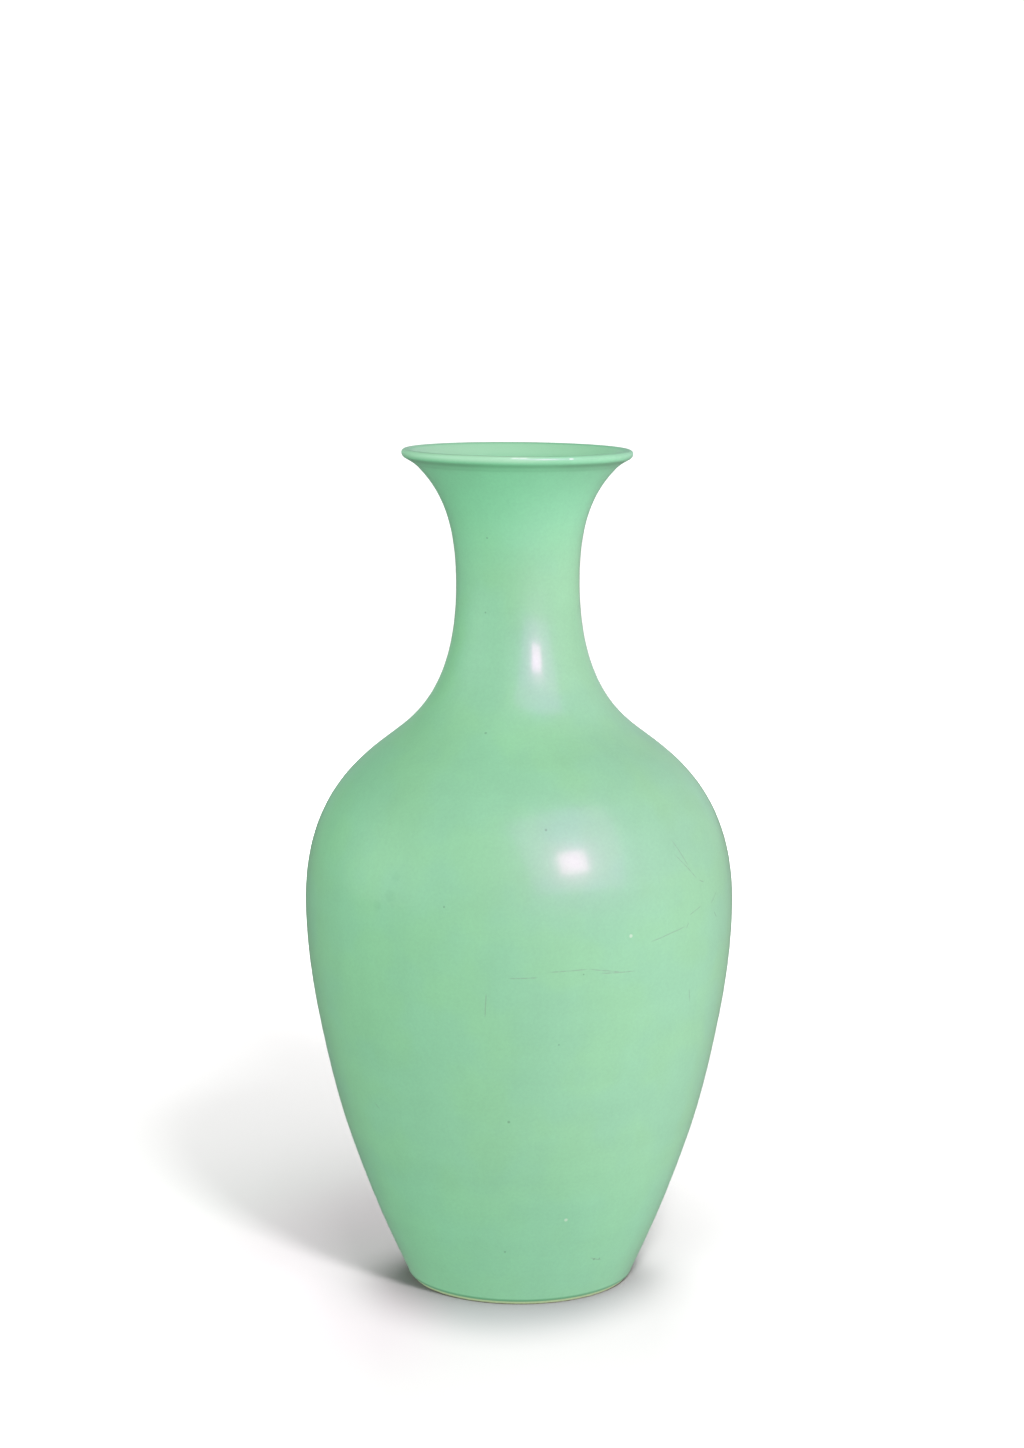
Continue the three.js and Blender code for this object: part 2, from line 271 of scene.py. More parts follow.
recess_corner = recess_side(RECESS_DEPTH)
recess = np.concatenate([
    np.stack([np.linspace(0, recess_corner[0] - RECESS_ROUND, 14)[:-1], np.full(13, RECESS_DEPTH)], 1),
    bend((recess_corner[0] - RECESS_ROUND, RECESS_DEPTH), recess_corner,
         recess_side(RECESS_DEPTH - RECESS_ROUND), 10),
    [recess_side(4.0), recess_side(BASE_GLAZE_END)],
])


# Turned meshes


def sideways(z):
    """How far the fired axis lies to the side at a height: it leans and bows."""
    up = (z - BELLY_HEIGHT) / FULL_HEIGHT
    return LEAN_SIDE * up + LEAN_BOW * up**2


def dropped(x, z):
    """How far the fired mouth has dropped, more towards +X."""
    return MOUTH_DROP * (1 + x / (FLARE_RADIUS + LIP_OVERHANG)) * np.clip(
        (z - MOUTH_DROP_FROM) / (FULL_HEIGHT - MOUTH_DROP_FROM), 0, 1) ** 2


def settled(x, y, z):
    """Carries places from the true turned form to the fired one: the axis leans and bows to the
    side with height, the wall swells a little at some heights, faint throwing rings wind up it,
    and the mouth drops. Near the axis nothing swells."""
    radius = np.maximum(np.hypot(x, y), 1e-9)
    swell = sum(amount * np.exp(-(((z - height) / SWELL_REACH) ** 2))
                for height, amount in THROWN_SWELLS.values())
    winding = 2 * np.pi * z / RING_HEIGHT + np.arctan2(y, x)
    ring = -RING_DEPTH * (1.1 + np.sin(winding)) * np.clip((z - RING_START) / RING_FADE, 0, 1)
    ring *= np.clip((FLARE_HEIGHT - z) / RING_FADE, 0, 1)
    grow = (swell + ring) * np.clip((radius - STILL_RADIUS) / STILL_FADE, 0, 1) / radius
    return x * (1 + grow) + sideways(z), y * (1 + grow), z - dropped(x, z)


def turned(name, profile, turns, material, node):
    """A closed profile turned about the vertical axis: place k of the profile at turn j lies at
    radius times the cosine and sine of the turn. Places on the axis become one vertex each."""
    radius, height = profile[:, 0], profile[:, 1]
    angle = 2 * np.pi * np.arange(turns) / turns
    x = radius[:, None] * np.cos(angle)
    y = radius[:, None] * np.sin(angle)
    z = np.repeat(height[:, None], turns, 1)
    places = np.stack(settled(x, y, z), -1).reshape(-1, 3) * MM
    number = np.arange(len(profile) * turns).reshape(len(profile), turns)
    pole = radius < 1e-6
    number[pole] = number[pole][:, :1]
    upper = np.roll(number, -1, 0)
    corners = np.stack([number, np.roll(number, -1, 1), np.roll(upper, -1, 1), upper], -1)
    clear = ~(pole & np.roll(pole, -1))
    corners = corners[clear].reshape(-1, 4)
    area = np.sum(radius * np.roll(height, -1) - np.roll(radius, -1) * height)
    if area < 0:
        corners = corners[:, ::-1]
    used, corners = np.unique(corners, return_inverse=True)
    corners = corners.reshape(-1, 4)
    faces = [list(dict.fromkeys(face)) for face in corners.tolist()]
    mesh = bpy.data.meshes.new(name)
    mesh.from_pydata(places[used].tolist(), [], faces)
    mesh.polygons.foreach_set("use_smooth", np.ones(len(mesh.polygons), bool))
    mesh.set_sharp_from_angle(angle=np.radians(SMOOTH_ANGLE))
    mesh.materials.append(material)
    mesh.validate()
    mesh.update()
    piece = bpy.data.objects.new(name, mesh)
    bpy.context.scene.collection.objects.link(piece)
    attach(piece, "root")
    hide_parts(node)
    return piece


def section(low, high):
    """The clay between two heights, as a closed profile: up its outer side, down its inner side."""
    outer_side = clay[outside_number(low): outside_number(high) + 1]
    inner_side = clay[inside_number(high): inside_number(low) + 1]
    return np.concatenate([outer_side, inner_side])


# Places of the marks


def sight_line(column, row):
    """The camera's place and the unit way in which it sees a pixel of the picture, in mm."""
    focal = CAMERA_LENS / FILM_SIZE * PICTURE_HEIGHT
    right = column - PICTURE_WIDTH / 2
    up = PICTURE_HEIGHT / 2 - row
    pitch = np.radians(CAMERA_PITCH)
    way_seen = np.array([right, focal * np.cos(pitch) + up * np.sin(pitch),
                         up * np.cos(pitch) - focal * np.sin(pitch)])
    start = np.array([CAMERA_SIDE, -CAMERA_DISTANCE, CAMERA_HEIGHT])
    return start, way_seen / np.linalg.norm(way_seen)


def on_surface(column, row):
    """The first place where the sight line of a pixel meets the outside, and the unit normal
    there: the line is walked in small steps until it is nearer the axis than the outline."""
    start, way_seen = sight_line(column, row)
    reach = np.linspace(CAMERA_DISTANCE - SIGHT_BEFORE, CAMERA_DISTANCE + SIGHT_BEYOND, SIGHT_PLACES)
    walk = start + reach[:, None] * way_seen
    shape = np.concatenate([outer, lip[: np.argmax(lip[:, 1]) + 1]])
    level = walk[:, 2] + dropped(walk[:, 0], walk[:, 2])
    aside = walk[:, 0] - sideways(level)
    radius = np.interp(level, shape[:, 1], shape[:, 0])
    met = np.argmax((np.hypot(aside, walk[:, 1]) < radius) & (level < RIM_TOP))
    place = walk[met]
    rise = np.interp([level[met] - 0.5, level[met] + 0.5], shape[:, 1], shape[:, 0])
    normal = np.array([aside[met], place[1], 0]) / np.hypot(aside[met], place[1])
    normal[2] = rise[0] - rise[1]
    return place, normal / np.linalg.norm(normal)


# Shader building


def feed(tree, socket, value):
    """Links a socket to an output, or sets it to a value."""
    if isinstance(value, bpy.types.NodeSocket):
        tree.links.new(value, socket)
    else:
        socket.default_value = value


def put(tree, kind, settings=None, **sockets):
    """Adds a node, sets its settings, and sets or links its named inputs. An underscore in a name
    stands for a space."""
    made = tree.nodes.new(kind)
    for name, value in (settings or {}).items():
        setattr(made, name, value)
    for name, value in sockets.items():
        feed(tree, made.inputs[name.replace("_", " ")], value)
    return made


def sums(tree, operation, first, second=0.0, third=None):
    """A Math node's result."""
    made = put(tree, "ShaderNodeMath", {"operation": operation})
    for socket, value in zip(made.inputs, (first, second, third)):
        if value is not None:
            feed(tree, socket, value)
    return made.outputs[0]


def product(tree, first, second):
    """Two values multiplied."""
    return sums(tree, "MULTIPLY", first, second)


def vector_sums(tree, operation, first, second, output=0):
    """A Vector Math node's result."""
    made = put(tree, "ShaderNodeVectorMath", {"operation": operation})
    feed(tree, made.inputs[0], first)
    feed(tree, made.inputs[1], second)
    return made.outputs[output]


def blended(tree, share, first, second, how="MIX"):
    """Two colours mixed by a share."""
    made = put(tree, "ShaderNodeMix", {"data_type": "RGBA", "blend_type": how})
    feed(tree, made.inputs[0], share)
    feed(tree, made.inputs[6], first)
    feed(tree, made.inputs[7], second)
    return made.outputs[2]


def ramped(tree, value, start, end, low=0.0, high=1.0):
    """A value carried smoothly from low to high as it goes from start to end."""
    made = put(tree, "ShaderNodeMapRange", {"interpolation_type": "SMOOTHSTEP"})
    for name, number in zip(("Value", "From Min", "From Max", "To Min", "To Max"),
                            (value, start, end, low, high)):
        feed(tree, made.inputs[name], number)
    return made.outputs[0]


def noise(tree, where, scale, detail=2.0, roughness=0.5, seed=0.0):
    """A smooth noise between 0 and 1 about 0.5, at a scale of features per metre."""
    return put(tree, "ShaderNodeTexNoise", {"noise_dimensions": "4D"}, Vector=where, W=seed,
               Scale=scale, Detail=detail, Roughness=roughness).outputs[0]


def new_group(name, inputs, outputs):
    """An empty shader node group with named inputs and outputs, and its two end nodes."""
    group = bpy.data.node_groups.new(name, "ShaderNodeTree")
    for socket, kind, value in inputs:
        made = group.interface.new_socket(socket, in_out="INPUT", socket_type="NodeSocket" + kind)
        if value is not None:
            made.default_value = value
    for socket, kind in outputs:
        group.interface.new_socket(socket, in_out="OUTPUT", socket_type="NodeSocket" + kind)
    return group, group.nodes.new("NodeGroupInput"), group.nodes.new("NodeGroupOutput")


def place_group(tree, group, **sockets):
    """A node group placed in a material, with its own values."""
    return put(tree, "ShaderNodeGroup", {"node_tree": group}, **sockets)


def spot_group():
    """A round mark: 1 within its radius of its centre, fading out over its soft edge."""
    group, given, result = new_group(
        "spot",
        [("Place", "Vector", None), ("Centre", "Vector", None), ("Radius", "Float", 0.001),
         ("Soft Edge", "Float", 0.0005)],
        [("Mask", "Float")])
    away = vector_sums(group, "DISTANCE", given.outputs["Place"], given.outputs["Centre"], 1)
    end = sums(group, "ADD", given.outputs["Radius"], given.outputs["Soft Edge"])
    mask = ramped(group, away, given.outputs["Radius"], end, 1.0, 0.0)
    group.links.new(mask, result.inputs["Mask"])
    return group


def scratch_group():
    """A fine line on the surface: how far a place lies along and across the line from its centre
    gives a mask that thins out at both ends, wanders a little and breaks up."""
    group, given, result = new_group(
        "scratch",
        [("Place", "Vector", None), ("Centre", "Vector", None), ("Along", "Vector", None),
         ("Across", "Vector", None), ("Half Length", "Float", 0.01),
         ("Half Width", "Float", 0.0002), ("Wander", "Float", 0.0005)],
        [("Mask", "Float")])
    where, half_length = given.outputs["Place"], given.outputs["Half Length"]
    away = vector_sums(group, "SUBTRACT", where, given.outputs["Centre"])
    along = vector_sums(group, "DOT_PRODUCT", away, given.outputs["Along"], 1)
    across = vector_sums(group, "DOT_PRODUCT", away, given.outputs["Across"], 1)
    distance = vector_sums(group, "LENGTH", away, (0, 0, 0), 1)
    wave = sums(group, "SUBTRACT", noise(group, where, 90, 1.0), 0.5)
    across = sums(group, "ADD", across, product(group, wave, given.outputs["Wander"]))
    across = sums(group, "DIVIDE", sums(group, "ABSOLUTE", across), given.outputs["Half Width"])
    along = sums(group, "DIVIDE", sums(group, "ABSOLUTE", along), half_length)
    distance = sums(group, "DIVIDE", distance, half_length)
    line = ramped(group, across, 0.4, 1.3, 1.0, 0.0)
    ends = ramped(group, along, 0.55, 1.0, 1.0, 0.0)
    near = ramped(group, distance, 1.2, 1.4, 1.0, 0.0)
    broken = ramped(group, noise(group, where, 420, 2.0), 0.34, 0.54, 0.50, 1.0)
    mask = product(group, product(group, line, ends), product(group, near, broken))
    group.links.new(mask, result.inputs["Mask"])
    return group


def mottle_group():
    """Soft colour change of a fired coat: broad clouds, narrow level bands from throwing, upright
    streaks and fine grain, each a noise about 0, added up by their amounts."""
    group, given, result = new_group(
        "mottle",
        [("Place", "Vector", None), ("Clouds", "Float", 0.05), ("Bands", "Float", 0.02),
         ("Streaks", "Float", 0.02), ("Grain", "Float", 0.03)],
        [("Change", "Float")])
    where = given.outputs["Place"]
    level = put(group, "ShaderNodeMapping", Vector=where, Scale=(4, 4, 110))
    upright = put(group, "ShaderNodeMapping", Vector=where, Scale=(90, 90, 7))
    parts = [("Clouds", noise(group, where, 26, 4.0, 0.72)),
             ("Bands", noise(group, level.outputs[0], 1.0, 2.0)),
             ("Streaks", noise(group, upright.outputs[0], 1.0, 2.0)),
             ("Grain", noise(group, where, 700, 2.0, 0.7))]
    total = 0.0
    for name, value in parts:
        change = product(group, sums(group, "SUBTRACT", value, 0.5), given.outputs[name])
        total = sums(group, "ADD", change, total)
    group.links.new(total, result.inputs["Change"])
    return group


def glassy_group():
    """The skin of a glassy coat: a shallow orange peel and finer dimples as a height in metres,
    and a roughness that changes slowly over the surface."""
    group, given, result = new_group(
        "glassy_skin",
        [("Place", "Vector", None), ("Peel", "Float", 0.00001), ("Dimples", "Float", 0.000003),
         ("Roughness", "Float", 0.2), ("Change", "Float", 0.05)],
        [("Height", "Float"), ("Roughness", "Float")])
    where = given.outputs["Place"]
    peel = product(group, noise(group, where, 170, 1.0), given.outputs["Peel"])
    dimples = product(group, noise(group, where, 1100, 2.0, 0.6), given.outputs["Dimples"])
    slow = sums(group, "SUBTRACT", noise(group, where, 60, 3.0), 0.5)
    rough = product(group, slow, given.outputs["Change"])
    rough = sums(group, "ADD", rough, given.outputs["Roughness"])
    group.links.new(sums(group, "ADD", peel, dimples), result.inputs["Height"])
    group.links.new(rough, result.inputs["Roughness"])
    return group


SPOT = spot_group()
SCRATCH = scratch_group()
MOTTLE = mottle_group()
GLASSY_SKIN = glassy_group()

# Marks on the enamel. Round marks: the pixel of the picture at which each is seen, and its radius in
# mm. Lines: the pixels at which each starts and ends.
PITS = {"belly_pit": (631, 936, 0.55), "low_pit": (566, 1220, 0.55)}
# Painted highlights: two pale streaks along the nose of the lip stand for glints of light, drawn as
# lines.
PAINTED_LIP_HIGHLIGHTS = {"lip_painted_highlight": (509, 458.4, 531, 458.4), "lip_painted_highlight_right": (569, 458.9, 574, 459.1)}
SPECKS = {
    "shoulder_speck": (546, 830, 0.4), "low_speck": (508.8, 1122, 0.45),
    "root_speck": (485.7, 733, 0.4), "neck_speck": (485.4, 612.5, 0.3),
    "upper_neck_speck": (487, 538, 0.3), "left_speck": (444, 907, 0.3),
    "foot_speck": (505, 1252, 0.35), "middle_speck": (559, 1045, 0.3),
    "hairline_speck": (583.7, 974.5, 0.25), "foot_nick": (594, 1259.3, 0.4),
    "foot_nick_end": (599.5, 1258.4, 0.3),
}
BLOTCHES = {"left_blotch": (390, 896, 1.6), "left_blotch_above": (396, 877, 1.2),
            "left_blotch_beside": (377, 905, 1.2)}
SCRATCHES = {
    "right_long": (674, 853, 699, 880), "right_end": (699, 880, 704, 882),
    "right_low": (689, 916, 702, 905), "right_sweep": (650, 943, 689, 925),
    "middle_hairline": (546.7, 972.8, 590.5, 969.4), "middle_hairline_end": (588, 969.4, 623, 972.2),
    "right_edge": (711, 904, 717, 890), "right_short": (686, 929, 689, 922),
    "right_edge_low": (714, 911, 716.6, 917), "upright_right": (689, 988, 690, 1003),
    "left_hairline": (506, 979, 540, 978), "right_hairline": (599, 974, 639, 971),
    "upright": (486, 992, 485, 1019), "far_left": (375, 1103, 380, 1109),
    "right_upper": (671, 838, 690, 868), "foot_left": (590, 1258, 602, 1260),
}

# How strongly each kind of mark shows, how soft the edges of round marks are for their radius, the
# half widths of lines in mm, the depth of dents in metres, and how much rougher worn places are.
PIT_SHARE, SPECK_SHARE, BLOTCH_SHARE, SCRATCH_SHARE, PAINTED_HIGHLIGHT_SHARE = 0.36, 0.50, 0.12, 0.75, 0.70
MARK_SOFTNESS, BLOTCH_SOFTNESS, SCRATCH_HALF_WIDTH, PAINTED_HIGHLIGHT_HALF_WIDTH = 0.9, 1.5, 0.26, 0.40
DENT_DEPTH, WORN_ROUGHNESS = 0.00003, 0.3


def mark_masks(tree, where, marks, soft):
    """The greatest of the masks of round marks."""
    mask = None
    for column, row, radius in marks.values():
        centre = on_surface(column, row)[0] * MM
        made = place_group(tree, SPOT, Place=where, Centre=tuple(centre), Radius=radius * MM,
                           Soft_Edge=radius * soft * MM).outputs[0]
        mask = made if mask is None else sums(tree, "MAXIMUM", mask, made)
    return mask


def scratch_masks(tree, where, marks, half_width):
    """The greatest of the masks of scratches, each between the places seen at two pixels."""
    mask = None
    for column, row, end_column, end_row in marks.values():
        start = on_surface(column, row)[0]
        end = on_surface(end_column, end_row)[0]
        centre, normal = on_surface((column + end_column) / 2, (row + end_row) / 2)
        half_length = np.linalg.norm(end - start) / 2
        along = (end - start) / (2 * half_length)
        across = np.cross(normal, along)
        made = place_group(tree, SCRATCH, Place=where, Centre=tuple(centre * MM), Along=tuple(along),
                           Across=tuple(across), Half_Length=half_length * MM,
                           Half_Width=half_width * MM).outputs[0]
        mask = made if mask is None else sums(tree, "MAXIMUM", mask, made)
    return mask


def new_material(name):
    """A material with its tree, its object coordinates, their parts and its shader."""
    material = bpy.data.materials.new(name)
    material.use_nodes = True
    tree = material.node_tree
    shader = tree.nodes["Principled BSDF"]
    where = put(tree, "ShaderNodeTexCoord").outputs["Object"]
    parts = put(tree, "ShaderNodeSeparateXYZ", Vector=where)
    return material, tree, shader, where, parts.outputs


def radius_from(tree, part, aside=0.0):
    """The distance of a place from an upright axis that lies aside along X."""
    along = sums(tree, "SUBTRACT", part["X"], aside)
    square = sums(tree, "MULTIPLY_ADD", along, along, product(tree, part["Y"], part["Y"]))
    return sums(tree, "SQRT", square)


def mottled(tree, colour, mottle):
    """A colour made a little lighter or darker by a mottle's change about 0."""
    lighten = sums(tree, "ADD", mottle, 1.0)
    made = put(tree, "ShaderNodeVectorMath", {"operation": "SCALE"}, Scale=lighten)
    feed(tree, made.inputs[0], colour)
    return made.outputs[0]


def bumped(tree, shader, height):
    """Feeds a height in metres to the shader's normal."""
    made = put(tree, "ShaderNodeBump", Strength=1.0, Distance=1.0, Height=height)
    tree.links.new(made.outputs[0], shader.inputs["Normal"])


ENAMEL_GREEN = (0.265, 0.572, 0.327, 1)
ENAMEL_BLUISH = (0.260, 0.563, 0.344, 1)
ENAMEL_FRESH = (0.238, 0.616, 0.352, 1)
# Deep green, for enamel pooled at its lower edge and in blotches, and for painted shade under the lip,
# on the neck below it and along the crest.
ENAMEL_DEEP_AND_SHADE = (0.120, 0.360, 0.180, 1)
# Paler green, for the mouth and for the lip's face, where it is partly thinner enamel and partly painted
# light.
ENAMEL_PALE_AND_LIT = (0.385, 0.690, 0.465, 1)
PIT_WHITE = (0.80, 0.80, 0.72, 1)
# Colour of the painted highlights on the lip.
PAINTED_HIGHLIGHT_PALE = (0.72, 0.84, 0.76, 1)
SPECK_DARK = (0.10, 0.22, 0.13, 1)
SCRATCH_GREY = (0.22, 0.38, 0.25, 1)
SHEEN_TINT = (0.85, 0.50, 1.0, 1)

# The skins of the two glassy coats. The enamel's roughness stays above 0.274: where it falls below,
# the denoiser takes the coat for a mirror and leaves sharp-edged patches.
GLASS_IOR, ENAMEL_COAT, ENAMEL_COAT_ROUGHNESS = 1.52, 0.34, 0.12
ENAMEL_SKIN = {"Peel": 0.000012, "Dimples": 0.000004, "Roughness": 0.295, "Change": 0.05}
GLAZE_SKIN = {"Peel": 0.000014, "Dimples": 0.000003, "Roughness": 0.14, "Change": 0.06}

# Mottling of each finish.
ENAMEL_MOTTLE = {"Clouds": 0.17, "Bands": 0.06, "Streaks": 0.07, "Grain": 0.15}
CLAY_MOTTLE = {"Clouds": 0.10, "Bands": 0.0, "Streaks": 0.0, "Grain": 0.22}
SLIP_MOTTLE = {"Clouds": 0.14, "Bands": 0.10, "Streaks": 0.0, "Grain": 0.25}
GLAZE_MOTTLE = {"Clouds": 0.08, "Bands": 0.05, "Streaks": 0.02, "Grain": 0.04}

# Heights in metres between which the enamel turns fresher, towards the mouth and the foot.
FRESH_TOP_FROM, FRESH_TOP_FULL = 0.335, 0.385
FRESH_FOOT_FULL, FRESH_FOOT_END, FRESH_FOOT_SHARE = 0.020, 0.100, 0.45

# Heights at the lip in metres, as they were before the mouth dropped: where its paler face, partly
# thinner enamel and partly painted light, starts and is full, and its shares on the left and right;
# where the band under it is darker, partly pooled enamel and partly painted shade; the painted shade on
# the neck below it; where the painted shade line darkens the crest; and where the mouth turns paler.
LIP_PALE_LIT_FROM, LIP_PALE_LIT_FULL, LIP_PALE_LIT_LEFT, LIP_PALE_LIT_RIGHT = 0.3962, 0.3982, 0.95, 0.25
UNDER_LIP_POOL_SHADE_HEIGHT, UNDER_LIP_POOL_SHADE_REACH, UNDER_LIP_POOL_SHADE_SHARE = 0.3952, 0.0016, 0.62
THROAT_SHADE_HEIGHT, THROAT_SHADE_REACH, THROAT_SHADE_SHARE = 0.3920, 0.0050, 0.22
CREST_SHADE_FROM, CREST_SHADE_FULL, CREST_SHADE_SHARE = 0.3995, 0.3999, 0.35
MOUTH_PALE_FROM, MOUTH_PALE_FULL, MOUTH_PALE_SHARE = 0.3900, 0.3960, 0.70

# Radii at the lip in metres, the places along X between which its paler face, partly painted light,
# fades, and how far inside the line of the flare the face of the mouth lies.
MOUTH_FULL_RADIUS, LIP_FACE_FROM, LIP_FACE_FULL = 0.0494, 0.0502, 0.0512
UNDER_LIP_FROM, UNDER_LIP_FULL = 0.0472, 0.0482
PALE_LEFT_END, PALE_RIGHT_FROM = -0.002, 0.022
MOUTH_SIDE_FULL, MOUTH_SIDE_END = -0.003, -0.002

# The dark line of gathered enamel just above its lower edge, in metres.
FOOT_LINE_HEIGHT, FOOT_LINE_HALF, FOOT_LINE_END, FOOT_LINE_SHARE = 0.0022, 0.0003, 0.0012, 0.90


def green_enamel():
    """Even green enamel under a thin gloss: mottled, fresher near both ends and paler in the mouth. The
    lip's face is paler, partly thinner enamel and partly painted light; painted shade darkens the crest
    in a fine line; the band under the lip is darker, partly pooled enamel and partly painted shade, with
    painted shade on the neck below it; at its lower edge the enamel is deeper where it pooled. With
    blotches, scratches, specks, pits, and pale streaks on the lip that are painted highlights."""
    material, tree, shader, where, part = new_material("green_enamel")
    mottle = place_group(tree, MOTTLE, Place=where, **ENAMEL_MOTTLE).outputs[0]
    hue = ramped(tree, noise(tree, where, 34, 2.0, 0.5, 3.0), 0.4, 0.62)
    colour = blended(tree, hue, ENAMEL_GREEN, ENAMEL_BLUISH)
    ends = sums(tree, "ADD", ramped(tree, part["Z"], FRESH_TOP_FROM, FRESH_TOP_FULL),
                ramped(tree, part["Z"], FRESH_FOOT_FULL, FRESH_FOOT_END, FRESH_FOOT_SHARE, 0.0))
    colour = blended(tree, ends, colour, ENAMEL_FRESH)
    colour = mottled(tree, colour, mottle)
    radius = radius_from(tree, part, sideways(FULL_HEIGHT) * MM)
    level = sums(tree, "MULTIPLY_ADD", part["X"], MOUTH_DROP / (FLARE_RADIUS + LIP_OVERHANG), part["Z"])
    level = sums(tree, "ADD", level, MOUTH_DROP * MM)
    # Painted light: the lip's upward face is paler, partly from thinner enamel and partly as painted
    # light, more on the left than on the right.
    lip_face_pale_and_lit = product(tree, ramped(tree, level, LIP_PALE_LIT_FROM, LIP_PALE_LIT_FULL),
                       ramped(tree, radius, LIP_FACE_FROM, LIP_FACE_FULL))
    pale_lit_share = ramped(tree, part["X"], PALE_LEFT_END, PALE_RIGHT_FROM, LIP_PALE_LIT_LEFT, LIP_PALE_LIT_RIGHT)
    colour = blended(tree, product(tree, lip_face_pale_and_lit, pale_lit_share), colour, ENAMEL_PALE_AND_LIT)
    flare = np.tan(np.radians(FLARE_LEAN))
    flare_line = (FLARE_RADIUS - flare * FLARE_HEIGHT) * MM
    within = sums(tree, "MULTIPLY_ADD", level, -flare, radius)
    within = sums(tree, "SUBTRACT", within, flare_line)
    in_mouth = product(tree, ramped(tree, radius, MOUTH_FULL_RADIUS, LIP_FACE_FROM, 1.0, 0.0),
                       ramped(tree, within, MOUTH_SIDE_FULL, MOUTH_SIDE_END, 1.0, 0.0))
    mouth = ramped(tree, level, MOUTH_PALE_FROM, MOUTH_PALE_FULL, 0.0, MOUTH_PALE_SHARE)
    colour = blended(tree, product(tree, mouth, in_mouth), colour, ENAMEL_PALE_AND_LIT)
    outside_lip = ramped(tree, radius, UNDER_LIP_FROM, UNDER_LIP_FULL)
    # Painted shade: the band under the lip is darker, partly pooled enamel and partly painted shade, and
    # the neck just below it gets a painted shade.
    for height, reach, share in ((UNDER_LIP_POOL_SHADE_HEIGHT, UNDER_LIP_POOL_SHADE_REACH, UNDER_LIP_POOL_SHADE_SHARE),
                                 (THROAT_SHADE_HEIGHT, THROAT_SHADE_REACH, THROAT_SHADE_SHARE)):
        away = sums(tree, "ABSOLUTE", sums(tree, "SUBTRACT", level, height))
        deep_and_shade = product(tree, ramped(tree, away, 0.0, reach, share, 0.0), outside_lip)
        colour = blended(tree, deep_and_shade, colour, ENAMEL_DEEP_AND_SHADE)
    # Painted shade: a fine darker line along the top of the crest, where the lip's edge meets the shaded
    # inside of the mouth.
    crest = ramped(tree, level, CREST_SHADE_FROM, CREST_SHADE_FULL, 0.0, CREST_SHADE_SHARE)
    colour = blended(tree, crest, colour, ENAMEL_DEEP_AND_SHADE)
    edge = sums(tree, "ABSOLUTE", sums(tree, "SUBTRACT", part["Z"], FOOT_LINE_HEIGHT))
    edge = ramped(tree, edge, FOOT_LINE_HALF, FOOT_LINE_END, FOOT_LINE_SHARE, 0.0)
    colour = blended(tree, edge, colour, ENAMEL_DEEP_AND_SHADE)
    blotches = mark_masks(tree, where, BLOTCHES, BLOTCH_SOFTNESS)
    colour = blended(tree, product(tree, blotches, BLOTCH_SHARE), colour, ENAMEL_DEEP_AND_SHADE)
    scratches = scratch_masks(tree, where, SCRATCHES, SCRATCH_HALF_WIDTH)
    colour = blended(tree, product(tree, scratches, SCRATCH_SHARE), colour, SCRATCH_GREY)
    specks = mark_masks(tree, where, SPECKS, MARK_SOFTNESS)
    colour = blended(tree, product(tree, specks, SPECK_SHARE), colour, SPECK_DARK)
    pits = mark_masks(tree, where, PITS, MARK_SOFTNESS)
    colour = blended(tree, product(tree, pits, PIT_SHARE), colour, PIT_WHITE)
    # Painted highlight: pale streaks on the lip's nose stand for glints of light.
    painted_highlights = scratch_masks(tree, where, PAINTED_LIP_HIGHLIGHTS, PAINTED_HIGHLIGHT_HALF_WIDTH)
    colour = blended(tree, product(tree, painted_highlights, PAINTED_HIGHLIGHT_SHARE), colour, PAINTED_HIGHLIGHT_PALE)
    tree.links.new(colour, shader.inputs["Base Color"])

    skin = place_group(tree, GLASSY_SKIN, Place=where, **ENAMEL_SKIN)
    worn = product(tree, sums(tree, "MAXIMUM", scratches, pits), WORN_ROUGHNESS)
    tree.links.new(sums(tree, "ADD", skin.outputs["Roughness"], worn), shader.inputs["Roughness"])
    dents = product(tree, sums(tree, "ADD", pits, scratches), -DENT_DEPTH)
    bumped(tree, shader, sums(tree, "ADD", skin.outputs["Height"], dents))
    shader.inputs["Specular Tint"].default_value = SHEEN_TINT
    shader.inputs["IOR"].default_value = GLASS_IOR
    shader.inputs["Coat Weight"].default_value = ENAMEL_COAT
    shader.inputs["Coat Roughness"].default_value = ENAMEL_COAT_ROUGHNESS
    return material


BODY_WHITE = (0.66, 0.64, 0.57, 1)
FOOT_PALE = (0.44, 0.60, 0.32, 1)
FOOT_BROWN = (0.16, 0.11, 0.07, 1)
GRIT_SHARE, CLAY_GRAIN_DEPTH, CLAY_ROUGHNESS, FOOT_ROUGHNESS = 0.5, 0.00006, 0.8, 0.45
SLIP_WHITE, SLIP_ROUGHNESS, SLIP_GRAIN_DEPTH = (0.58, 0.54, 0.46), 0.85, 0.00008

# The bare foot, in metres: the radii between which its outside starts, the brown line's upper edge
# and how far the line wanders up and down.
FOOT_SIDE_FROM, FOOT_SIDE_FULL = 0.0519, 0.0523
RIM_EDGE_FROM, RIM_EDGE_FULL, RIM_BROWN_SHARE = 0.0505, 0.0522, 0.25
BROWN_FULL, BROWN_END, BROWN_SHARE, BROWN_WANDER = 0.00020, 0.00055, 0.9, 0.0006


